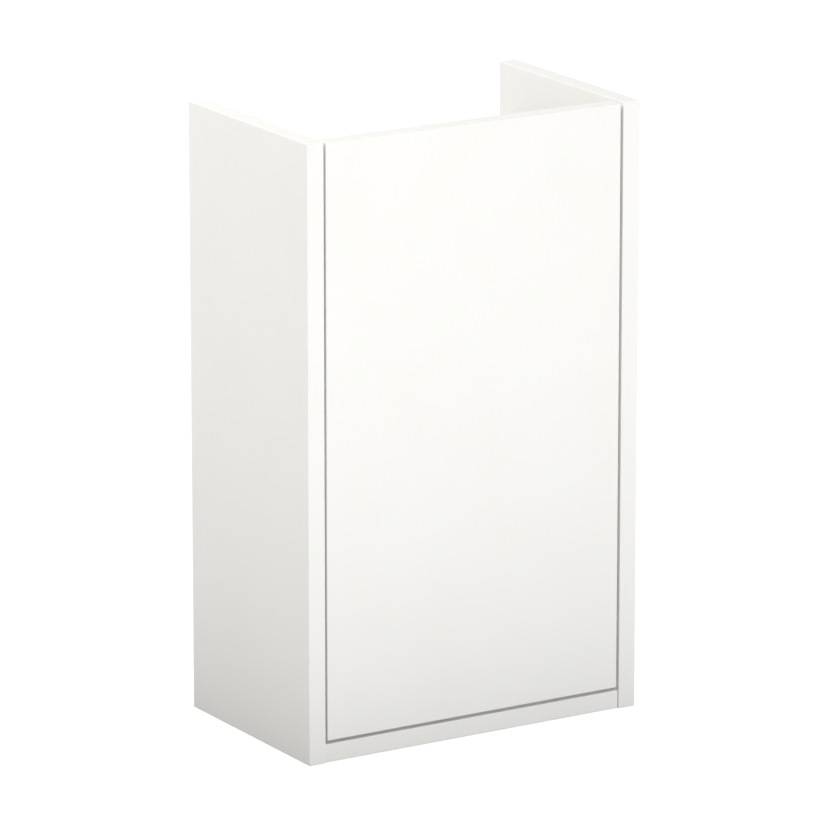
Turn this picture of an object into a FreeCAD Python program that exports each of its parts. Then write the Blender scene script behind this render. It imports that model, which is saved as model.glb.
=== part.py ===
import FreeCAD, Part
import math
import os

# Wall-hung hand basin cabinet: two full-height sides, a bottom, two rear rails, a shelf and one inset
# handleless door on two concealed gooseneck hinges, opened by a push latch. The top is open for a basin.
# Millimetres. +Z up, front towards -Y, origin at the middle of the underside.

# Cabinet
cabinet_width = 366.0
cabinet_depth = 220.0
cabinet_height = 600.0
board = 18.0
edge_radius = 0.8
bottom_setback = 1.6
edging_thickness = 3.0
edging_relief = 0.6

# Door and the gaps round it
door_thickness = 18.0
door_top_drop = 1.0
door_bottom_gap = 3.6
hinge_gap = 2.9
latch_gap = 2.1

# Rear rails
rail_thickness = 18.0
upper_rail_height = 90.0
upper_rail_drop = 70.0
lower_rail_height = 70.0
wall_hole_spacing = 200.0
wall_hole_radius = 4.0

# Shelf and its pins
shelf_thickness = 16.0
shelf_height = 262.0
shelf_front_setback = 45.0
shelf_back_setback = 20.0
shelf_side_gap = 0.8
pin_hole_radius = 2.5
pin_hole_depth = 9.0
pin_hole_pitch = 32.0
pin_holes_each_way = 2
pin_row_front = 55.0
pin_row_back_inset = 45.0
pin_peg_length = 8.0
pin_collar_radius = 3.8
pin_collar_thickness = 0.6
pin_tongue_length = 9.0
pin_tongue_thickness = 3.0

# Cam connectors and dowels
cam_radius = 7.5
cam_depth = 12.6
cam_floor_gap = 0.6
cam_setback = 24.0
cam_slot_length = 8.0
cam_slot_width = 1.2
cam_slot_depth = 1.8
bolt_thread_radius = 2.5
bolt_thread_length = 11.0
bolt_shank_radius = 3.5
bolt_neck_radius = 2.2
bolt_head_radius = 3.4
bolt_head_length = 4.0
bolt_neck_length = 3.6
bolt_bore_radius = 4.0
cover_radius = 8.6
cover_thickness = 1.2
dowel_radius = 4.0
dowel_length = 30.0
dowel_in_side = 12.0
dowel_chamfer = 0.8
bottom_cam_inset = 45.0
dowel_pitch = 32.0
rail_dowel_offset = 24.0
hole_end_gap = 0.5

# Hinges, each drawn by distance into the opening from the side panel and distance back from the front
hinge_setback = 90.0
cup_radius = 17.5
cup_wall = 1.2
cup_floor = 1.0
door_skin = 3.6
pin_rise = 3.9
pin_from_edge = 13.5
pin_to_cup_centre = 9.0
flange_radius = 19.5
flange_thickness = 0.9
ear_radius = 6.0
ear_spacing = 45.0
ear_offset = 9.5
pin_radius = 1.75
pin_running_fit = 0.05
pin_press_fit = 0.01
pin_chamfer = 0.4
eye_radius = 3.4
eye_length = 15.8
eye_side_gap = 0.25
lug_length = 5.0
arm_thickness = 3.2
arm_width = 14.0
arm_sweep_gap = 0.9
arm_bend_radius = 6.0
arm_corner_radius = 1.2
arm_flange_thickness = 1.4
plate_height = 5.4
plate_width = 16.0
plate_length = 44.0
plate_fit = 0.2
wing_thickness = 2.0
wing_width = 14.0
wing_screw_spacing = 32.0
wing_clearance = 0.4
plate_start_gap = 4.0

# Screws
screw_radius = 2.0
screw_head_radius = 3.9
screw_length = 13.0
clamp_screw_radius = 2.5
clamp_head_radius = 4.2
clamp_head_height = 2.4
clamp_slot_length = 4.0
clamp_setback = 12.0
adjust_screw_radius = 2.8
adjust_setback = 30.0
drive_reach = 2.1
drive_width = 0.9
drive_depth = 1.3
screw_fit = 0.05

# Push latch
latch_height = 380.0
latch_reach = 9.0
latch_width = 16.0
latch_length = 60.0
latch_front_gap = 8.0
latch_corner_radius = 1.5
latch_bore_depth = 52.0
latch_ear_thickness = 3.0
latch_ear_length = 26.0
latch_ear_span = 41.0
latch_screw_spacing = 29.0
latch_ear_setback = 10.0
latch_ear_radius = 4.0
plunger_radius = 5.0
plunger_fit = 0.06
plunger_length = 38.0
plunger_well_radius = 3.6
plunger_well_depth = 26.0
plunger_tip_chamfer = 0.8
spring_wire_radius = 0.45
spring_coil_radius = 2.8
spring_turns = 9
spring_bends_per_turn = 3
magnet_radius = 3.6
magnet_length = 3.0
magnet_proud = 0.5
magnet_fit = 0.02
strike_thickness = 1.0
strike_width = 11.0
strike_length = 34.0
strike_corner_radius = 2.0
strike_screw_spacing = 22.0
strike_gap = 0.3

# Shared fit of a peg, dowel or bolt in its hole
fit = 0.05

# Least cosine between two directions that count as parallel
parallel_cosine = 0.99

V = FreeCAD.Vector
X_AXIS = V(1, 0, 0)
Y_AXIS = V(0, 1, 0)
Z_AXIS = V(0, 0, 1)

# Reference planes
front = -cabinet_depth / 2
back = cabinet_depth / 2
inner = cabinet_width / 2 - board
door_back = front + door_thickness
door_bottom = board + door_bottom_gap
door_top = cabinet_height - door_top_drop
rail_front = back - rail_thickness
upper_rail_top = cabinet_height - upper_rail_drop
upper_rail_bottom = upper_rail_top - upper_rail_height
hinge_heights = {
    "lower": door_bottom + hinge_setback,
    "upper": door_top - hinge_setback,
}

# Hinge reference points, in distances from the side panel and from the front
pin_x = hinge_gap + pin_from_edge
pin_y = door_skin + cup_floor + pin_rise
pin_half_length = eye_length / 2 + eye_side_gap + lug_length - hole_end_gap
cup_x = pin_x + pin_to_cup_centre
ear_x = cup_x + ear_offset
sweep_radius = math.hypot(pin_from_edge, door_thickness - pin_y)
arm_inside = sweep_radius + arm_sweep_gap
arm_outside = arm_inside + arm_thickness
base_top = plate_height + arm_thickness
bend_x = base_top + arm_bend_radius
bend_y = pin_y + arm_outside + arm_bend_radius
plate_start = bend_y + plate_start_gap
plate_end = plate_start + plate_length
wing_y = plate_start + plate_length / 2
clamp_y = plate_end - clamp_setback
adjust_y = plate_end - adjust_setback


def box(x_range, y_range, z_range):
    corner = V(x_range[0], y_range[0], z_range[0])
    size = V(x_range[1], y_range[1], z_range[1]) - corner
    return Part.makeBox(size.x, size.y, size.z, corner)


def rod(start, axis, radius, length):
    return Part.makeCylinder(radius, length, start, axis)


def along(shape, axis):
    """Straight edges of the shape that run along an axis."""
    straight = [edge for edge in shape.Edges if edge.Curve.TypeId == "Part::GeomLine"]
    return [edge for edge in straight if abs(edge.tangentAt(0).dot(axis)) > parallel_cosine]


def softened(shape, radius, axis=None):
    """The shape with every edge rounded, or only the edges along one axis."""
    edges = shape.Edges if axis is None else along(shape, axis)
    return shape.makeFillet(radius, edges)


def cut(shape, tools):
    return shape.cut(Part.makeCompound(tools)) if tools else shape


def turned(profile, axis_start, axis):
    """A solid of revolution from (distance along the axis, radius) points, closed on the axis."""
    points = [V(along_axis, radius, 0) for along_axis, radius in profile]
    points = [V(profile[0][0], 0, 0)] + points + [V(profile[-1][0], 0, 0)]
    face = Part.Face(Part.makePolygon(points + [points[0]]))
    solid = face.revolve(V(0, 0, 0), X_AXIS, 360)
    solid.Placement = FreeCAD.Placement(axis_start, FreeCAD.Rotation(X_AXIS, axis))
    return solid


def drive_recess(top, axis):
    """The cross recess of a screw, cut from its top along the axis."""
    half = drive_width / 2
    wide = box((0, drive_depth), (-drive_reach, drive_reach), (-half, half))
    tall = box((0, drive_depth), (-half, half), (-drive_reach, drive_reach))
    cross = wide.fuse(tall)
    cross.Placement = FreeCAD.Placement(top, FreeCAD.Rotation(X_AXIS, axis))
    return cross


def countersunk_screw(seat, axis):
    """A countersunk screw whose flat head lies at the seat and whose point lies along the axis."""
    profile = [
        (0, screw_head_radius),
        (screw_head_radius - screw_radius, screw_radius),
        (screw_length - screw_radius, screw_radius),
        (screw_length, screw_radius / 2),
    ]
    return turned(profile, seat, axis).cut(drive_recess(seat, axis))


def countersunk_hole(seat, axis):
    """The hole that the screw fills, a fit wider all round."""
    radius = screw_radius + screw_fit
    profile = [
        (0, screw_head_radius + screw_fit),
        (screw_head_radius - screw_radius, radius),
        (screw_length + hole_end_gap, radius),
    ]
    return turned(profile, seat, axis)


def export(name, solids):
    shape = solids[0] if len(solids) == 1 else Part.makeCompound(solids)
    shape.exportStep(os.path.join("parts", name + ".step"))


# Cam connectors: each joins the end of a board to a side panel


def connector_frame(side, y, z, cam_axis):
    """Local frame with the cam's top at the origin, local +Z out of the board, local +X towards the side."""
    toward_side = V(side, 0, 0)
    origin = V(side * (inner - cam_setback), y, z)
    across = cam_axis.cross(toward_side)
    return FreeCAD.Placement(origin, FreeCAD.Rotation(toward_side, across, cam_axis, "ZXY"))


def placed(shape, frame):
    moved = shape.copy()
    moved.Placement = frame.multiply(shape.Placement)
    return moved


def cam_bolt(thickness):
    """The bolt from its head inside the cam to its thread inside the side panel."""
    neck_start = bolt_head_length / 2
    shank_start = neck_start + bolt_neck_length
    profile = [
        (-neck_start, bolt_head_radius),
        (neck_start, bolt_head_radius),
        (neck_start, bolt_neck_radius),
        (shank_start, bolt_neck_radius),
        (shank_start, bolt_shank_radius),
        (cam_setback, bolt_shank_radius),
        (cam_setback, bolt_thread_radius),
        (cam_setback + bolt_thread_length, bolt_thread_radius),
    ]
    return turned(profile, V(0, 0, -thickness / 2), X_AXIS)


def cam_lock(thickness):
    drum = rod(V(0, 0, -cam_depth), Z_AXIS, cam_radius - fit, cam_depth)
    mouth_start = V(-bolt_head_length, 0, -thickness / 2)
    mouth = rod(mouth_start, X_AXIS, bolt_bore_radius, cam_radius + bolt_head_length)
    half = cam_slot_length / 2
    width = cam_slot_width / 2
    cross = box((-half, half), (-width, width), (-cam_slot_depth, 0))
    cross = cross.fuse(box((-width, width), (-half, half), (-cam_slot_depth, 0)))
    return drum.cut(mouth).cut(cross)


def cam_bore(thickness):
    """What the connector takes out of the board."""
    pocket = rod(V(0, 0, -cam_depth - cam_floor_gap), Z_AXIS, cam_radius, cam_depth + cam_floor_gap)
    return pocket.fuse(rod(V(0, 0, -thickness / 2), X_AXIS, bolt_bore_radius, cam_setback))


def bolt_hole(thickness):
    """What the connector takes out of the side panel."""
    length = bolt_thread_length + hole_end_gap
    return rod(V(cam_setback, 0, -thickness / 2), X_AXIS, bolt_thread_radius + fit, length)


def dowel(side, y, z):
    start = side * (inner - dowel_length + dowel_in_side)
    rim = dowel_radius - dowel_chamfer
    profile = [
        (0, rim),
        (dowel_chamfer, dowel_radius),
        (dowel_length - dowel_chamfer, dowel_radius),
        (dowel_length, rim),
    ]
    return turned(profile, V(start, y, z), V(side, 0, 0))


def dowel_hole(side, y, z):
    start = side * (inner - dowel_length + dowel_in_side - hole_end_gap)
    return rod(V(start, y, z), V(side, 0, 0), dowel_radius + fit, dowel_length + 2 * hole_end_gap)


def connectors():
    """Each connector's board, frame and board thickness, and each dowel's board and place."""
    cams = []
    dowels = []
    for side in (-1, 1):
        for y in (front + bottom_cam_inset, back - bottom_cam_inset):
            cams.append(("bottom", side, connector_frame(side, y, board, Z_AXIS), board))
            toward_middle = -math.copysign(dowel_pitch, y)
            dowels.append(("bottom", side, y + toward_middle, board / 2))
        rails = {
            "upper": (upper_rail_bottom, upper_rail_height),
            "lower": (board, lower_rail_height),
        }
        for rail, (bottom, height) in rails.items():
            middle = bottom + height / 2
            cams.append((rail, side, connector_frame(side, back, middle, Y_AXIS), rail_thickness))
            for z in (middle - rail_dowel_offset, middle + rail_dowel_offset):
                dowels.append((rail, side, back - rail_thickness / 2, z))
    return cams, dowels


cams, dowels = connectors()


def connector_cuts(board_name):
    tools = [placed(cam_bore(t), frame) for name, side, frame, t in cams if name == board_name]
    return tools + [dowel_hole(side, y, z) for name, side, y, z in dowels if name == board_name]


def side_connector_cuts(panel_side):
    tools = [placed(bolt_hole(t), frame) for name, side, frame, t in cams if side == panel_side]
    return tools + [dowel_hole(side, y, z) for name, side, y, z in dowels if side == panel_side]


# Shelf


shelf_front = front + shelf_front_setback
shelf_back = rail_front - shelf_back_setback
pin_axis_drop = pin_collar_radius
pin_rows = (front + pin_row_front, back - pin_row_back_inset)


def shelf():
    half = inner - shelf_side_gap
    slab = box((-half, half), (shelf_front, shelf_back), (shelf_height, shelf_height + shelf_thickness))
    return softened(slab, edge_radius)


def shelf_pin(side, y):
    axis = V(-side, 0, 0)
    z = shelf_height - pin_axis_drop
    face = side * inner
    peg = rod(V(face + side * pin_peg_length, y, z), axis, pin_hole_radius - fit, pin_peg_length)
    collar = rod(V(face, y, z), axis, pin_collar_radius, pin_collar_thickness)
    reach = sorted((face, face - side * pin_tongue_length))
    width = pin_collar_radius
    tongue = box(reach, (y - width, y + width), (shelf_height - pin_tongue_thickness, shelf_height))
    tongue = softened(tongue, edge_radius, X_AXIS)
    return peg.fuse([collar, tongue]).removeSplitter()


def pin_holes(side):
    axis = V(side, 0, 0)
    tools = []
    for y in pin_rows:
        for step in range(-pin_holes_each_way, pin_holes_each_way + 1):
            z = shelf_height - pin_axis_drop + step * pin_hole_pitch
            tools.append(rod(V(side * inner, y, z), axis, pin_hole_radius, pin_hole_depth))
    return tools


# Hinges. Every point is h(distance from the side panel, distance back from the front, height).


def h(x, y, z=0.0):
    return V(inner - x, front + y, z)


def h_box(x_range, y_range, z_range):
    return box((inner - x_range[1], inner - x_range[0]), (front + y_range[0], front + y_range[1]), z_range)


def h_arc(center, radius, start_deg, end_deg):
    angles = [math.radians(a) for a in (start_deg, (start_deg + end_deg) / 2, end_deg)]
    points = [h(center[0] + radius * math.cos(a), center[1] + radius * math.sin(a)) for a in angles]
    return Part.Arc(*points).toShape()


def h_line(start, end):
    return Part.makeLine(h(*start), h(*end))


def arm_profile():
    """The gooseneck: out of the cup, round the path of the door's edge and back to the side panel."""
    pin = (pin_x, pin_y)
    bend = (bend_x, bend_y)
    half = arm_thickness / 2
    neck_bottom = pin_y - half
    neck_top = pin_y + half
    side_x = pin_x + arm_outside
    corner = (side_x - arm_corner_radius, neck_bottom + arm_corner_radius)
    neck_angle = math.asin(half / arm_inside)
    neck_end = pin_x + arm_inside * math.cos(neck_angle)
    inner_y = pin_y + arm_inside
    outer_y = pin_y + arm_outside
    edges = [
        h_line((pin_x, neck_bottom), (corner[0], neck_bottom)),
        h_arc(corner, arm_corner_radius, -90, 0),
        h_line((side_x, corner[1]), (side_x, pin_y)),
        h_arc(pin, arm_outside, 0, 90),
        h_line((pin_x, outer_y), (bend_x, outer_y)),
        h_arc(bend, arm_bend_radius, -90, -180),
        h_line((base_top, bend_y), (base_top, plate_end)),
        h_line((base_top, plate_end), (plate_height, plate_end)),
        h_line((plate_height, plate_end), (plate_height, bend_y)),
        h_arc(bend, arm_bend_radius + arm_thickness, -180, -90),
        h_line((bend_x, inner_y), (pin_x, inner_y)),
        h_arc(pin, arm_inside, 90, math.degrees(neck_angle)),
        h_line((neck_end, neck_top), (pin_x, neck_top)),
        h_line((pin_x, neck_top), (pin_x, neck_bottom)),
    ]
    return Part.Face(Part.Wire(edges))


def hinge_arm(z):
    neck = arm_profile().extrude(V(0, 0, arm_width))
    neck.translate(V(0, 0, z - arm_width / 2))
    eye = rod(h(pin_x, pin_y, z - eye_length / 2), Z_AXIS, eye_radius, eye_length)
    channel_half = plate_width / 2 + plate_fit + arm_flange_thickness
    flange_foot = wing_thickness + wing_clearance
    channel = h_box((flange_foot, base_top), (plate_start, plate_end), (z - channel_half, z + channel_half))
    channel = softened(channel, arm_corner_radius, X_AXIS)
    groove_half = plate_width / 2 + plate_fit
    groove = h_box((flange_foot, plate_height), (plate_start, plate_end), (z - groove_half, z + groove_half))
    arm = neck.fuse([eye, channel.cut(groove)]).removeSplitter()
    bore = rod(h(pin_x, pin_y, z - eye_length), Z_AXIS, pin_radius + pin_running_fit, 2 * eye_length)
    tap = rod(h(base_top, adjust_y, z), X_AXIS, adjust_screw_radius + screw_fit, arm_thickness)
    return cut(arm, [bore, tap, clamp_slot(z)])


def clamp_slot(z):
    """Slot that lets the arm slide on its plate before the clamp screw is tightened."""
    radius = clamp_screw_radius + screw_fit
    half = clamp_slot_length / 2
    ends = [rod(h(base_top, clamp_y + step, z), X_AXIS, radius, arm_thickness) for step in (-half, half)]
    middle = h_box((plate_height, base_top), (clamp_y - half, clamp_y + half), (z - radius, z + radius))
    return middle.fuse(ends)


def hinge_plate(z):
    body = h_box((0, plate_height), (plate_start, plate_end), (z - plate_width / 2, z + plate_width / 2))
    body = softened(body, arm_corner_radius, X_AXIS)
    half = wing_screw_spacing / 2
    radius = wing_width / 2
    wings = h_box((0, wing_thickness), (wing_y - radius, wing_y + radius), (z - half, z + half))
    ends = [rod(seat, X_AXIS, radius, wing_thickness) for seat in plate_screw_seats(z)]
    plate = body.fuse([wings] + ends).removeSplitter()
    depth = plate_height - wing_thickness + hole_end_gap
    tap = rod(h(plate_height, clamp_y, z), X_AXIS, clamp_screw_radius + screw_fit, depth)
    return cut(plate, [tap] + plate_screw_holes(z))


def plate_screw_seats(z):
    half = wing_screw_spacing / 2
    return [h(wing_thickness, wing_y, at) for at in (z - half, z + half)]


def plate_screws(z):
    return [countersunk_screw(seat, X_AXIS) for seat in plate_screw_seats(z)]


def plate_screw_holes(z):
    return [countersunk_hole(seat, X_AXIS) for seat in plate_screw_seats(z)]


def clamp_screw(z):
    head = clamp_head_height
    end = head + base_top - wing_thickness
    profile = [
        (0, clamp_head_radius),
        (head, clamp_head_radius),
        (head, clamp_screw_radius),
        (end, clamp_screw_radius),
    ]
    top = h(base_top + head, clamp_y, z)
    return turned(profile, top, X_AXIS).cut(drive_recess(top, X_AXIS))


def adjusting_screw(z):
    top = h(base_top, adjust_y, z)
    return rod(top, X_AXIS, adjust_screw_radius, arm_thickness).cut(drive_recess(top, X_AXIS))


def hinge_cup(z):
    axis = Y_AXIS
    shell = rod(h(cup_x, door_skin, z), axis, cup_radius - fit, door_thickness - door_skin)
    flange = rod(h(cup_x, door_thickness, z), axis, flange_radius, flange_thickness)
    half = ear_spacing / 2
    span = (door_thickness, door_thickness + flange_thickness)
    ends = (z - half, z + half)
    strap = h_box((ear_x - ear_radius, ear_x + ear_radius), span, ends)
    ears = [rod(h(ear_x, door_thickness, at), axis, ear_radius, flange_thickness) for at in ends]
    hollow_floor = door_skin + cup_floor
    hollow_depth = door_thickness + flange_thickness - hollow_floor
    hollow = rod(h(cup_x, hollow_floor, z), axis, cup_radius - cup_wall, hollow_depth)
    body = shell.fuse([flange, strap] + ears).removeSplitter().cut(hollow)
    lugs = [pin_lug(z, end).common(shell) for end in (-1, 1)]
    body = body.fuse(lugs).removeSplitter()
    bore = rod(h(pin_x, pin_y, z - pin_half_length), Z_AXIS, pin_radius + pin_press_fit, 2 * pin_half_length)
    return cut(body, [bore] + cup_screw_holes(z))


def pin_lug(z, end):
    """Lug that carries one end of the hinge pin on the floor of the cup."""
    near = eye_length / 2 + eye_side_gap
    start, stop = sorted((z + end * near, z + end * (near + lug_length)))
    round_part = rod(h(pin_x, pin_y, start), Z_AXIS, eye_radius, lug_length)
    foot = h_box((pin_x - eye_radius, pin_x + eye_radius), (door_skin + cup_floor, pin_y), (start, stop))
    return round_part.fuse(foot).removeSplitter()


def hinge_pin(z):
    pin = rod(h(pin_x, pin_y, z - pin_half_length), Z_AXIS, pin_radius, 2 * pin_half_length)
    return pin.makeChamfer(pin_chamfer, [e for e in pin.Edges if e.Curve.TypeId == "Part::GeomCircle"])


def cup_screw_seats(z):
    half = ear_spacing / 2
    return [h(ear_x, door_thickness + flange_thickness, at) for at in (z - half, z + half)]


def cup_screws(z):
    return [countersunk_screw(seat, -Y_AXIS) for seat in cup_screw_seats(z)]


def cup_screw_holes(z):
    return [countersunk_hole(seat, -Y_AXIS) for seat in cup_screw_seats(z)]


# Push latch on the side away from the hinges


latch_x = -inner + latch_reach
latch_front = door_back + latch_front_gap
latch_ear_y = latch_front + latch_ear_setback + latch_ear_length / 2
strike_face = door_back + strike_thickness
plunger_front = strike_face + strike_gap + magnet_proud
well_bottom = plunger_front + plunger_length - plunger_well_depth
bore_end = latch_front + latch_bore_depth
spring_start = well_bottom + spring_wire_radius + fit
spring_length = bore_end - spring_wire_radius - fit - spring_start


def latch_housing():
    half = latch_width / 2
    length = (latch_front, latch_front + latch_length)
    body = box((-inner, -inner + 2 * latch_reach), length, (latch_height - half, latch_height + half))
    body = softened(body, latch_corner_radius, Y_AXIS)
    ear_height = (latch_height - latch_ear_span / 2, latch_height + latch_ear_span / 2)
    ear_length = (latch_ear_y - latch_ear_length / 2, latch_ear_y + latch_ear_length / 2)
    ears = box((-inner, -inner + latch_ear_thickness), ear_length, ear_height)
    ears = softened(ears, latch_ear_radius, X_AXIS)
    bore = rod(V(latch_x, latch_front, latch_height), Y_AXIS, plunger_radius + plunger_fit, latch_bore_depth)
    return cut(body.fuse(ears).removeSplitter(), [bore] + latch_screw_holes())


def latch_plunger():
    start = V(latch_x, plunger_front, latch_height)
    stem = rod(start, Y_AXIS, plunger_radius, plunger_length)
    front_rim = [e for e in stem.Edges if e.BoundBox.YMax < plunger_front + plunger_tip_chamfer]
    stem = stem.makeChamfer(plunger_tip_chamfer, front_rim)
    pocket = rod(start, Y_AXIS, magnet_radius + magnet_fit, magnet_length - magnet_proud)
    well_start = V(latch_x, well_bottom, latch_height)
    return cut(stem, [pocket, rod(well_start, Y_AXIS, plunger_well_radius, plunger_well_depth)])


def latch_magnet():
    return rod(V(latch_x, strike_face + strike_gap, latch_height), Y_AXIS, magnet_radius, magnet_length)


def coil_point(turn):
    """Middle of the spring's wire after a number of turns."""
    angle = 2 * math.pi * turn
    x = latch_x + spring_coil_radius * math.cos(angle)
    z = latch_height + spring_coil_radius * math.sin(angle)
    return V(x, spring_start + spring_length * turn / spring_turns, z)


def coil_heading(turn):
    """Direction of the spring's wire after a number of turns."""
    angle = 2 * math.pi * turn
    round_trip = 2 * math.pi * spring_coil_radius
    pitch = spring_length / spring_turns
    return V(-round_trip * math.sin(angle), pitch, round_trip * math.cos(angle)).normalize()


def bent_wire(start, heading, end):
    """Skin of the wire that leaves the start along its heading and bends in one arc to the end."""
    chord = end - start
    half_angle = heading.getAngle(chord)
    axis = heading.cross(chord).normalize()
    center = start + axis.cross(heading) * (chord.Length / (2 * math.sin(half_angle)))
    ring = Part.makeCircle(spring_wire_radius, start, heading)
    return ring.revolve(center, axis, math.degrees(2 * half_angle))


def latch_spring():
    """The plunger's return spring: each bend is two arcs that meet on one tangent."""
    skin = []
    for bend in range(spring_turns * spring_bends_per_turn):
        turns = (bend / spring_bends_per_turn, (bend + 1) / spring_bends_per_turn)
        start, end = [coil_point(turn) for turn in turns]
        leaving, arriving = [coil_heading(turn) for turn in turns]
        spread = 2 * (1 - leaving.dot(arriving))
        run = (end - start).dot(leaving + arriving)
        reach = (math.sqrt(run * run + spread * (end - start).dot(end - start)) - run) / spread
        first_corner = start + leaving * reach
        second_corner = end - arriving * reach
        middle = (first_corner + second_corner) * 0.5
        skin.append(bent_wire(start, leaving, middle))
        skin.append(bent_wire(middle, (second_corner - first_corner).normalize(), end))
    for turn in (0, spring_turns):
        rim = Part.makeCircle(spring_wire_radius, coil_point(turn), coil_heading(turn))
        skin.append(Part.Face(Part.Wire(rim)))
    shell = Part.makeShell(skin)
    shell.sewShape()
    return Part.Solid(shell)


def latch_screw_seats():
    half = latch_screw_spacing / 2
    return [V(-inner + latch_ear_thickness, latch_ear_y, latch_height + step) for step in (-half, half)]


def latch_screws():
    return [countersunk_screw(seat, -X_AXIS) for seat in latch_screw_seats()]


def latch_screw_holes():
    return [countersunk_hole(seat, -X_AXIS) for seat in latch_screw_seats()]


def strike_plate():
    half = strike_length / 2
    width = (latch_x - strike_width / 2, latch_x + strike_width / 2)
    plate = box(width, (door_back, strike_face), (latch_height - half, latch_height + half))
    return cut(softened(plate, strike_corner_radius, Y_AXIS), strike_screw_holes())


def strike_screw_seats():
    half = strike_screw_spacing / 2
    return [V(latch_x, strike_face, latch_height + step) for step in (-half, half)]


def strike_screws():
    return [countersunk_screw(seat, -Y_AXIS) for seat in strike_screw_seats()]


def strike_screw_holes():
    return [countersunk_hole(seat, -Y_AXIS) for seat in strike_screw_seats()]


# Boards


def side_panel(side):
    outer = side * cabinet_width / 2
    panel = box(sorted((outer, side * inner)), (front, back), (0, cabinet_height))
    tools = side_connector_cuts(side) + pin_holes(side)
    if side > 0:
        for z in hinge_heights.values():
            tools += plate_screw_holes(z)
    else:
        tools += latch_screw_holes()
    return cut(softened(panel, edge_radius), tools)


def bottom_panel():
    """The bottom board, whose front edging stops short of the sides and leaves a thin shadow line there."""
    face = front + bottom_setback
    panel = softened(box((-inner, inner), (face, back), (0, board)), edge_radius, X_AXIS)
    reliefs = []
    for end in (-inner, inner - edging_relief):
        reliefs.append(box((end, end + edging_relief), (face, face + edging_thickness), (0, board)))
    return cut(panel, reliefs + connector_cuts("bottom"))


def rear_rail(name, bottom, height, tools):
    rail = box((-inner, inner), (rail_front, back), (bottom, bottom + height))
    return cut(softened(rail, edge_radius, X_AXIS), connector_cuts(name) + tools)


def wall_holes():
    middle = upper_rail_bottom + upper_rail_height / 2
    half = wall_hole_spacing / 2
    return [rod(V(x, rail_front, middle), Y_AXIS, wall_hole_radius, rail_thickness) for x in (-half, half)]


def door_panel():
    slab = box((-inner + latch_gap, inner - hinge_gap), (front, door_back), (door_bottom, door_top))
    tools = strike_screw_holes()
    for z in hinge_heights.values():
        tools.append(rod(h(cup_x, door_skin, z), Y_AXIS, cup_radius, door_thickness - door_skin))
        tools += cup_screw_holes(z)
    return cut(softened(slab, edge_radius), tools)


def cam_cover(frame):
    cap = rod(V(0, 0, 0), Z_AXIS, cover_radius, cover_thickness)
    rim = [e for e in cap.Edges if e.BoundBox.ZMin > cover_thickness / 2]
    return placed(cap.makeFillet(edge_radius, rim), frame)


os.makedirs("parts", exist_ok=True)

export("left_side_panel", [side_panel(-1)])
export("right_side_panel", [side_panel(1)])
export("bottom_panel", [bottom_panel()])
export("upper_rear_rail", [rear_rail("upper", upper_rail_bottom, upper_rail_height, wall_holes())])
export("lower_rear_rail", [rear_rail("lower", board, lower_rail_height, [])])
export("shelf", [shelf()])
export("shelf_pins", [shelf_pin(side, y) for side in (-1, 1) for y in pin_rows])
export("cam_locks", [placed(cam_lock(t), frame) for name, side, frame, t in cams])
export("cam_bolts", [placed(cam_bolt(t), frame) for name, side, frame, t in cams])
export("cam_covers", [cam_cover(frame) for name, side, frame, t in cams if name == "bottom"])
export("wood_dowels", [dowel(side, y, z) for name, side, y, z in dowels])

for place, z in hinge_heights.items():
    export(place + "_hinge_plate", [hinge_plate(z)])
    export(place + "_hinge_arm", [hinge_arm(z)])
    export(place + "_hinge_cup", [hinge_cup(z)])
    export(place + "_hinge_pin", [hinge_pin(z)])
export("hinge_plate_screws", [screw for z in hinge_heights.values() for screw in plate_screws(z)])
export("hinge_clamp_screws", [clamp_screw(z) for z in hinge_heights.values()])
export("hinge_adjusting_screws", [adjusting_screw(z) for z in hinge_heights.values()])
export("hinge_cup_screws", [screw for z in hinge_heights.values() for screw in cup_screws(z)])

export("door_panel", [door_panel()])
export("strike_plate", [strike_plate()])
export("strike_screws", strike_screws())
export("latch_housing", [latch_housing()])
export("latch_plunger", [latch_plunger()])
export("latch_magnet", [latch_magnet()])
export("latch_spring", [latch_spring()])
export("latch_screws", latch_screws())
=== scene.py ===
import math

import bpy
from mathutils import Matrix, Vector


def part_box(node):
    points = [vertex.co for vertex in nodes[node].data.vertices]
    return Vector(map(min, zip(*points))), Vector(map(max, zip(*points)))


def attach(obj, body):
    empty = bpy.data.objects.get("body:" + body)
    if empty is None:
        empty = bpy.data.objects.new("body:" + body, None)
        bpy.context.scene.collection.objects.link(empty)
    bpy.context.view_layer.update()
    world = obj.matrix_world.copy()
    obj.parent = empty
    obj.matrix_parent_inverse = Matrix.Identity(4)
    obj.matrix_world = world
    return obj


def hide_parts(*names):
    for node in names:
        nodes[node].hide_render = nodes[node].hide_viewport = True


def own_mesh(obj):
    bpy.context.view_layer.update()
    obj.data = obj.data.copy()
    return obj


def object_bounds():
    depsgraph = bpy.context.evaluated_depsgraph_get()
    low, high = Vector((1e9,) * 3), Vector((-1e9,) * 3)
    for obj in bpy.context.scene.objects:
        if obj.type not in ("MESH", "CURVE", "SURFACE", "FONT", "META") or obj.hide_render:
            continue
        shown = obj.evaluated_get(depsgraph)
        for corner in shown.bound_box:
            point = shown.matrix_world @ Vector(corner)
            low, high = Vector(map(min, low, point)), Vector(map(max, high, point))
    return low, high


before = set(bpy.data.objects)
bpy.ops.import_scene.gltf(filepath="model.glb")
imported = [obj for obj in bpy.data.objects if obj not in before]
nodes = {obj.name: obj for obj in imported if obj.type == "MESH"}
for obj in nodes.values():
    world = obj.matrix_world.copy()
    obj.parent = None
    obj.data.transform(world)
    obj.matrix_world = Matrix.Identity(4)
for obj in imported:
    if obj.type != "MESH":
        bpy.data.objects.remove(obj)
cad_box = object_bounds()
door_front = cad_box[0][1]

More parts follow.
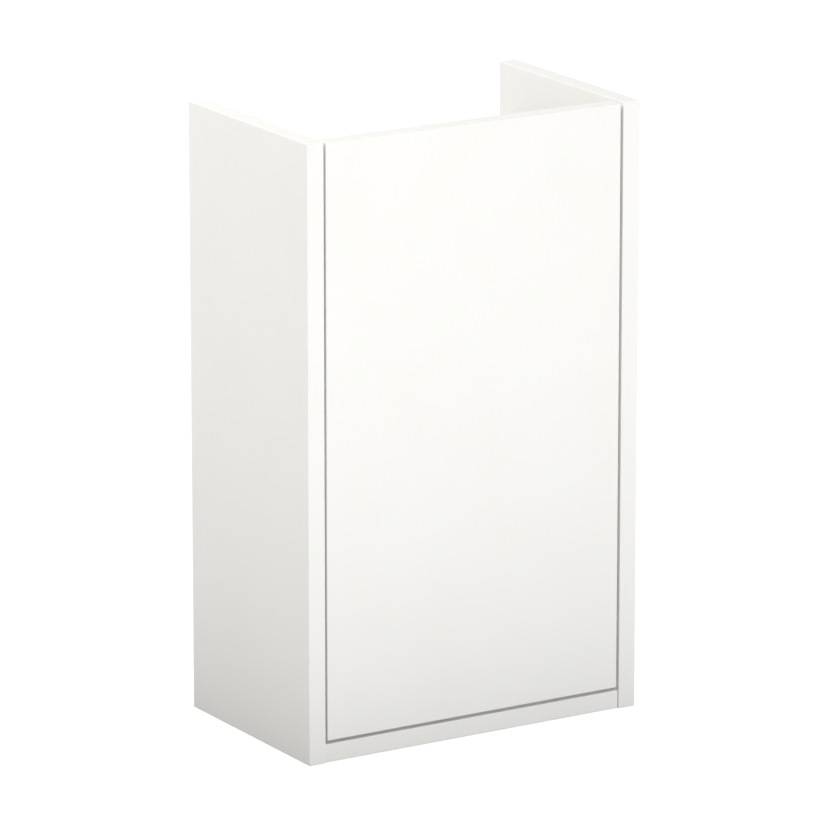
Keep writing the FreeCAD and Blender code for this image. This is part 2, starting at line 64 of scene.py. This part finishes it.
# Camera fitted to the cabinet's corners in the photograph: metres and degrees, lens and sensor in millimetres
camera_target = Vector((-0.0001, 0.0, 0.2930))
camera_azimuth = -31.519
camera_elevation = 14.973
camera_distance = 6.406
camera_reach = 100.0
camera_lens = 290.70
camera_sensor = 36.0

# Floor, in metres, and the share of light that it sends back at the cabinet's foot and beyond the fade: the
# low share near the foot is painted shade, so the cabinet's lower faces get less bounce light
floor_size = 30.0
floor_clearance = 0.0001
floor_fade = 0.50
floor_near_painted_shade = 0.04
floor_far = 0.60

# Floor as the eye sees it: a white of its own, and the share of light that lets the shadow show
floor_white = 0.86
floor_shadow = 0.22

# World: the light that it sends, and the white that the eye sees
ambient_strength = 0.74
backdrop_white = 1.0

# Soft lamps, in metres and watts
neutral = (1.0, 1.0, 1.0)
left_warmth = (1.0, 0.963, 0.926)
softboxes = {
    "back_left_softbox": {
        "place": (-1.0, 0.9, 1.9), "aim": (0.0, 0.0, 0.55),
        "width": 1.0, "height": 0.8, "power": 16.0, "colour": left_warmth,
    },
    "left_softbox": {
        "place": (-1.8, 0.2, 1.5), "aim": (0.0, 0.0, 0.45),
        "width": 1.6, "height": 1.2, "power": 3.6, "colour": left_warmth,
    },
    "front_softbox": {
        "place": (-0.3, -2.0, 0.8), "aim": (0.0, door_front, 0.4),
        "width": 1.2, "height": 0.8, "power": 7.5, "colour": neutral,
    },
    "low_front_softbox": {
        "place": (0.1, -1.8, 0.35), "aim": (0.0, door_front, 0.3),
        "width": 1.6, "height": 0.6, "power": 7.6, "colour": neutral,
    },
}

# Colours, linear
lacquer_white = (0.904, 0.900, 0.882, 1.0)
lacquer_warm = (0.890, 0.884, 0.863, 1.0)
fibre_light = (0.50, 0.36, 0.22, 1.0)
fibre_dark = (0.30, 0.20, 0.11, 1.0)
nickel_light = (0.72, 0.69, 0.64, 1.0)
nickel_dark = (0.68, 0.65, 0.60, 1.0)
zinc_light = (0.68, 0.69, 0.70, 1.0)
zinc_dark = (0.58, 0.60, 0.63, 1.0)
casting_light = (0.56, 0.56, 0.55, 1.0)
casting_dark = (0.40, 0.40, 0.41, 1.0)
magnet_light = (0.66, 0.65, 0.62, 1.0)
magnet_dark = (0.54, 0.53, 0.51, 1.0)
wire_light = (0.58, 0.58, 0.59, 1.0)
wire_dark = (0.38, 0.38, 0.40, 1.0)
white_moulding_light = (0.83, 0.83, 0.81, 1.0)
white_moulding_dark = (0.78, 0.78, 0.76, 1.0)
grey_moulding_light = (0.33, 0.34, 0.35, 1.0)
grey_moulding_dark = (0.27, 0.28, 0.29, 1.0)
acetal_light = (0.78, 0.78, 0.75, 1.0)
acetal_dark = (0.70, 0.70, 0.68, 1.0)
beech_light = (0.68, 0.49, 0.30, 1.0)
beech_dark = (0.50, 0.33, 0.18, 1.0)

# Most of a noise's values lie between these, and its scales below are in features per metre
noise_low = 0.3
noise_high = 0.7

# Stretch of a noise that is drawn out along one axis, or not at all
drawn_out = 0.08
along_x = (drawn_out, 1.0, 1.0)
along_y = (1.0, drawn_out, 1.0)
along_z = (1.0, 1.0, drawn_out)
even = (1.0, 1.0, 1.0)

# Lacquered boards, in metres: a drilled hole shows the bare fibres below the film
film_depth = 0.0009
film_edge = 0.0002
film_cloud_scale = 9.0
film_peel_scale = 420.0
film_peel_share = 0.2
film_roughness = (0.40, 0.48)
film_ior = 1.48
core_fibre_scale = 1800.0
core_roughness = (0.85, 1.0)
board_relief = 0.0001
board_bump = 0.35

# Plated metal
plating_cloud_scale = 140.0
plating_pit_scale = 3000.0
plating_pit_bump = 0.10
plating_grain_bump = 0.25

# Moulded plastic
moulding_flow_scale = 70.0
moulding_flow_stretch = (1.0, 0.3, 1.0)
moulding_spark_scale = 2600.0
moulding_spark_bump = 0.5
moulding_ior = 1.50

# Beech dowels, which lie along X, in metres
beech_fibre_scale = 900.0
beech_fibre_stretch = (0.06, 1.0, 1.0)
beech_ray_scale = 1400.0
beech_ray_stretch = (0.25, 1.0, 1.0)
beech_ray_start = 0.60
beech_ray_full = 0.68
beech_roughness = (0.60, 0.80)
beech_relief = 0.0001
beech_bump = 0.4
flute_count = 16.0
flute_relief = 0.0002
flute_bump = 0.6


def new_material(name):
    """A new material, its node tree and its Principled shader."""
    material = bpy.data.materials.new(name)
    material.use_nodes = True
    return material, material.node_tree, material.node_tree.nodes["Principled BSDF"]


def math_node(tree, operation, first, second=0.0):
    """The result of a Math node whose inputs are sockets or numbers."""
    node = tree.nodes.new("ShaderNodeMath")
    node.operation = operation
    for socket, value in zip(node.inputs, (first, second)):
        if isinstance(value, (int, float)):
            socket.default_value = value
        else:
            tree.links.new(value, socket)
    return node.outputs["Value"]


def split(tree, coordinates):
    """The X, Y and Z of a texture coordinate."""
    parts = tree.nodes.new("ShaderNodeSeparateXYZ")
    source = tree.nodes.new("ShaderNodeTexCoord")
    tree.links.new(source.outputs[coordinates], parts.inputs["Vector"])
    return parts.outputs


def noise(tree, scale, detail, roughness=0.5, stretch=even):
    """Noise in the object's own metres, stretched along its axes."""
    coordinates = tree.nodes.new("ShaderNodeTexCoord")
    mapping = tree.nodes.new("ShaderNodeMapping")
    mapping.inputs["Scale"].default_value = stretch
    texture = tree.nodes.new("ShaderNodeTexNoise")
    texture.inputs["Scale"].default_value = scale
    texture.inputs["Detail"].default_value = detail
    texture.inputs["Roughness"].default_value = roughness
    tree.links.new(coordinates.outputs["Object"], mapping.inputs["Vector"])
    tree.links.new(mapping.outputs["Vector"], texture.inputs["Vector"])
    return texture.outputs["Fac"]


def ramp(tree, value, low, high, low_at=noise_low, high_at=noise_high):
    """A colour ramp between two colours."""
    node = tree.nodes.new("ShaderNodeValToRGB")
    node.color_ramp.elements[0].position = low_at
    node.color_ramp.elements[0].color = low
    node.color_ramp.elements[1].position = high_at
    node.color_ramp.elements[1].color = high
    tree.links.new(value, node.inputs["Fac"])
    return node.outputs["Color"]


def spread(tree, value, low, high, low_at=noise_low, high_at=noise_high):
    """A value mapped to a range."""
    node = tree.nodes.new("ShaderNodeMapRange")
    node.inputs["From Min"].default_value = low_at
    node.inputs["From Max"].default_value = high_at
    node.inputs["To Min"].default_value = low
    node.inputs["To Max"].default_value = high
    tree.links.new(value, node.inputs["Value"])
    return node.outputs["Result"]


def mixed(tree, share, first, second):
    """One colour, or one value, turning into another by a share."""
    node = tree.nodes.new("ShaderNodeMix")
    colours = first.type == "RGBA"
    node.data_type = "RGBA" if colours else "FLOAT"
    kind = "RGBA" if colours else "VALUE"
    ends = [socket for socket in node.inputs if socket.type == kind and socket.name in "AB"]
    tree.links.new(share, node.inputs["Factor"])
    tree.links.new(first, ends[0])
    tree.links.new(second, ends[1])
    return [socket for socket in node.outputs if socket.type == kind][0]


def bump(tree, value, relief, strength, below=None):
    """Relief of a height in metres, over another relief where one is given."""
    node = tree.nodes.new("ShaderNodeBump")
    node.inputs["Strength"].default_value = strength
    node.inputs["Distance"].default_value = relief
    tree.links.new(value, node.inputs["Height"])
    if below is not None:
        tree.links.new(below, node.inputs["Normal"])
    return node.outputs["Normal"]


def depth_in_box(tree, low, high):
    """How deep a point lies below the nearest face of a box."""
    place = split(tree, "Object")
    depths = []
    for axis, near, far in zip("XYZ", low, high):
        depths.append(math_node(tree, "SUBTRACT", place[axis], near))
        depths.append(math_node(tree, "SUBTRACT", far, place[axis]))
    least = depths[0]
    for depth in depths[1:]:
        least = math_node(tree, "MINIMUM", least, depth)
    return least


def lacquered_board(name, low, high):
    """Satin white lacquer on a board, whose bare fibres show inside the drilled holes."""
    material, tree, shader = new_material(name)
    bare = spread(tree, depth_in_box(tree, low, high), 0.0, 1.0, film_depth, film_depth + film_edge)
    cloud = noise(tree, film_cloud_scale, detail=2.0)
    peel = noise(tree, film_peel_scale, detail=2.0)
    fibres = noise(tree, core_fibre_scale, detail=4.0, roughness=0.7)
    film = ramp(tree, cloud, lacquer_warm, lacquer_white)
    core = ramp(tree, fibres, fibre_dark, fibre_light)
    tree.links.new(mixed(tree, bare, film, core), shader.inputs["Base Color"])
    film_gloss = spread(tree, peel, *film_roughness)
    core_gloss = spread(tree, fibres, *core_roughness)
    tree.links.new(mixed(tree, bare, film_gloss, core_gloss), shader.inputs["Roughness"])
    peel_height = spread(tree, peel, 0.0, film_peel_share, 0.0, 1.0)
    height = mixed(tree, bare, peel_height, fibres)
    tree.links.new(bump(tree, height, board_relief, board_bump), shader.inputs["Normal"])
    shader.inputs["IOR"].default_value = film_ior
    return material


def plated(name, dark, light, roughness, grain_scale, stretch, relief):
    """Plated or drawn metal: a cloudy plating over a grain stretched the way the piece was worked."""
    material, tree, shader = new_material(name)
    cloud = noise(tree, plating_cloud_scale, detail=3.0)
    grain = noise(tree, grain_scale, detail=4.0, roughness=0.6, stretch=stretch)
    pits = noise(tree, plating_pit_scale, detail=2.0)
    tree.links.new(ramp(tree, cloud, dark, light), shader.inputs["Base Color"])
    tree.links.new(spread(tree, grain, *roughness), shader.inputs["Roughness"])
    pitted = bump(tree, pits, relief, plating_pit_bump)
    tree.links.new(bump(tree, grain, relief, plating_grain_bump, pitted), shader.inputs["Normal"])
    shader.inputs["Metallic"].default_value = 1.0
    return material


def moulded(name, dark, light, roughness, relief):
    """Moulded plastic: faint flow marks and the fine spark texture of its mould."""
    material, tree, shader = new_material(name)
    flow = noise(tree, moulding_flow_scale, detail=2.0, stretch=moulding_flow_stretch)
    spark = noise(tree, moulding_spark_scale, detail=3.0, roughness=0.6)
    tree.links.new(ramp(tree, flow, dark, light), shader.inputs["Base Color"])
    tree.links.new(spread(tree, spark, *roughness), shader.inputs["Roughness"])
    tree.links.new(bump(tree, spark, relief, moulding_spark_bump), shader.inputs["Normal"])
    shader.inputs["IOR"].default_value = moulding_ior
    return material


def turned_beech(name):
    """Beech with its fibres and short dark rays along the dowels, and pressed flutes round them."""
    material, tree, shader = new_material(name)
    fibres = noise(tree, beech_fibre_scale, detail=4.0, roughness=0.65, stretch=beech_fibre_stretch)
    flecks = noise(tree, beech_ray_scale, detail=1.0, stretch=beech_ray_stretch)
    rays = spread(tree, flecks, 0.0, 1.0, beech_ray_start, beech_ray_full)
    wood = ramp(tree, fibres, beech_dark, beech_light)
    ray_colour = ramp(tree, rays, beech_dark, fibre_dark, 0.0, 1.0)
    tree.links.new(mixed(tree, rays, wood, ray_colour), shader.inputs["Base Color"])
    tree.links.new(spread(tree, fibres, *beech_roughness), shader.inputs["Roughness"])
    facing = split(tree, "Normal")
    angle = math_node(tree, "ARCTAN2", facing["Z"], facing["Y"])
    flutes = math_node(tree, "SINE", math_node(tree, "MULTIPLY", angle, flute_count))
    fluted = bump(tree, flutes, flute_relief, flute_bump)
    tree.links.new(bump(tree, fibres, beech_relief, beech_bump, fluted), shader.inputs["Normal"])
    return material


# Finishes of the record's slots, with each relief in metres
finishes = {
    "nickel_hinge": plated(
        "nickel", nickel_dark, nickel_light,
        roughness=(0.21, 0.29), grain_scale=700.0, stretch=along_y, relief=0.00002,
    ),
    "zinc_steel": plated(
        "bright_zinc", zinc_dark, zinc_light,
        roughness=(0.26, 0.42), grain_scale=900.0, stretch=along_z, relief=0.00002,
    ),
    "cam_zinc": plated(
        "zinc_casting", casting_dark, casting_light,
        roughness=(0.42, 0.62), grain_scale=1500.0, stretch=even, relief=0.00008,
    ),
    "magnet": plated(
        "magnet_plating", magnet_dark, magnet_light,
        roughness=(0.14, 0.26), grain_scale=1200.0, stretch=along_x, relief=0.00001,
    ),
    "spring_steel": plated(
        "spring_wire", wire_dark, wire_light,
        roughness=(0.22, 0.36), grain_scale=1600.0, stretch=along_x, relief=0.00001,
    ),
    "white_plastic": moulded(
        "white_moulding", white_moulding_dark, white_moulding_light,
        roughness=(0.42, 0.58), relief=0.00004,
    ),
    "grey_plastic": moulded(
        "grey_moulding", grey_moulding_dark, grey_moulding_light,
        roughness=(0.40, 0.58), relief=0.00005,
    ),
    "pale_plastic": moulded(
        "acetal", acetal_dark, acetal_light,
        roughness=(0.24, 0.36), relief=0.00001,
    ),
    "beech": turned_beech("beech"),
}

# Each board has a lacquer of its own, because the film follows the board's faces
for name, node in nodes.items():
    slot = node.data.materials[0].name
    if slot == "white_board":
        node.data.materials[0] = lacquered_board("lacquer_" + name, *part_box(name))
    else:
        node.data.materials[0] = finishes[slot]

# A copy of the latch spring with a mesh of its own, fixed to the carcass in place of the imported one
spring = bpy.data.objects.new("squeezed_spring", nodes["latch_spring"].data.copy())
bpy.context.scene.collection.objects.link(spring)
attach(spring, "carcass")
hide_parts("latch_spring")
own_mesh(spring)


def seen_directly(tree):
    """One where a camera, glossy or transmitted ray arrives, otherwise none."""
    rays = tree.nodes.new("ShaderNodeLightPath").outputs
    seen = math_node(tree, "MAXIMUM", rays["Is Camera Ray"], rays["Is Glossy Ray"])
    return math_node(tree, "MAXIMUM", seen, rays["Is Transmission Ray"])


def show(tree, output, lighting, seen):
    """Sends one shader to the eye, and another to all the other light."""
    mix = tree.nodes.new("ShaderNodeMixShader")
    tree.links.new(seen_directly(tree), mix.inputs["Fac"])
    tree.links.new(lighting, mix.inputs[1])
    tree.links.new(seen, mix.inputs[2])
    tree.links.new(mix.outputs["Shader"], tree.nodes[output].inputs["Surface"])


def distance_from_cabinet(tree):
    """How far a point of the floor lies outside the cabinet's footprint."""
    place = split(tree, "Object")
    squares = []
    for axis, half in zip("XY", cad_box[1]):
        beyond = math_node(tree, "SUBTRACT", math_node(tree, "ABSOLUTE", place[axis]), half)
        beyond = math_node(tree, "MAXIMUM", beyond, 0.0)
        squares.append(math_node(tree, "MULTIPLY", beyond, beyond))
    return math_node(tree, "SQRT", math_node(tree, "ADD", *squares))


def studio_floor():
    """White to the eye but for the shadow, while painted shade near the cabinet's foot makes it send back
    less light there.
    """
    bpy.ops.mesh.primitive_plane_add(size=floor_size, location=(0.0, 0.0, -floor_clearance))
    floor = bpy.context.object
    floor.name = "studio_floor"
    material, tree, shader = new_material("studio_floor")
    tree.nodes.remove(shader)
    bounce = tree.nodes.new("ShaderNodeBsdfDiffuse")
    # Painted shade: the floor's albedo for bounce light is darker near the cabinet's foot and fades out
    # beyond it
    albedo_with_painted_shade = spread(tree, distance_from_cabinet(tree), floor_near_painted_shade, floor_far, 0.0, floor_fade)
    tree.links.new(albedo_with_painted_shade, bounce.inputs["Color"])
    shadow = tree.nodes.new("ShaderNodeBsdfDiffuse")
    shadow.inputs["Color"].default_value = (floor_shadow, floor_shadow, floor_shadow, 1.0)
    glow = tree.nodes.new("ShaderNodeEmission")
    glow.inputs["Strength"].default_value = floor_white
    seen = tree.nodes.new("ShaderNodeAddShader")
    tree.links.new(shadow.outputs["BSDF"], seen.inputs[0])
    tree.links.new(glow.outputs["Emission"], seen.inputs[1])
    show(tree, "Material Output", bounce.outputs["BSDF"], seen.outputs["Shader"])
    floor.data.materials.append(material)


def studio_world():
    """White to the eye, while the light that it sends is weaker."""
    world = bpy.data.worlds.new("studio_world")
    bpy.context.scene.world = world
    world.use_nodes = True
    tree = world.node_tree
    ambient = tree.nodes["Background"]
    ambient.inputs["Color"].default_value = (*neutral, 1.0)
    ambient.inputs["Strength"].default_value = ambient_strength
    backdrop = tree.nodes.new("ShaderNodeBackground")
    backdrop.inputs["Strength"].default_value = backdrop_white
    show(tree, "World Output", ambient.outputs["Background"], backdrop.outputs["Background"])


def softbox(name, place, aim, width, height, power, colour):
    """A soft rectangular lamp that faces its aim."""
    light = bpy.data.lights.new(name, "AREA")
    light.shape = "RECTANGLE"
    light.size = width
    light.size_y = height
    light.energy = power
    light.color = colour
    lamp = bpy.data.objects.new(name, light)
    lamp.location = place
    lamp.rotation_euler = (Vector(aim) - Vector(place)).to_track_quat("-Z", "Y").to_euler()
    bpy.context.scene.collection.objects.link(lamp)


def studio_camera():
    """A camera that faces its target from its azimuth, elevation and distance."""
    data = bpy.data.cameras.new("camera")
    data.sensor_width = camera_sensor
    data.lens = camera_lens
    data.clip_end = camera_reach
    camera = bpy.data.objects.new("camera", data)
    azimuth = math.radians(camera_azimuth)
    elevation = math.radians(camera_elevation)
    back = Vector((
        math.sin(azimuth) * math.cos(elevation),
        -math.cos(azimuth) * math.cos(elevation),
        math.sin(elevation),
    ))
    camera.location = camera_target + camera_distance * back
    camera.rotation_euler = (-back).to_track_quat("-Z", "Y").to_euler()
    bpy.context.scene.collection.objects.link(camera)
    bpy.context.scene.camera = camera


# Studio
studio_floor()
studio_world()
for name, lamp in softboxes.items():
    softbox(name, **lamp)
studio_camera()
bpy.context.scene.view_settings.view_transform = "Standard"
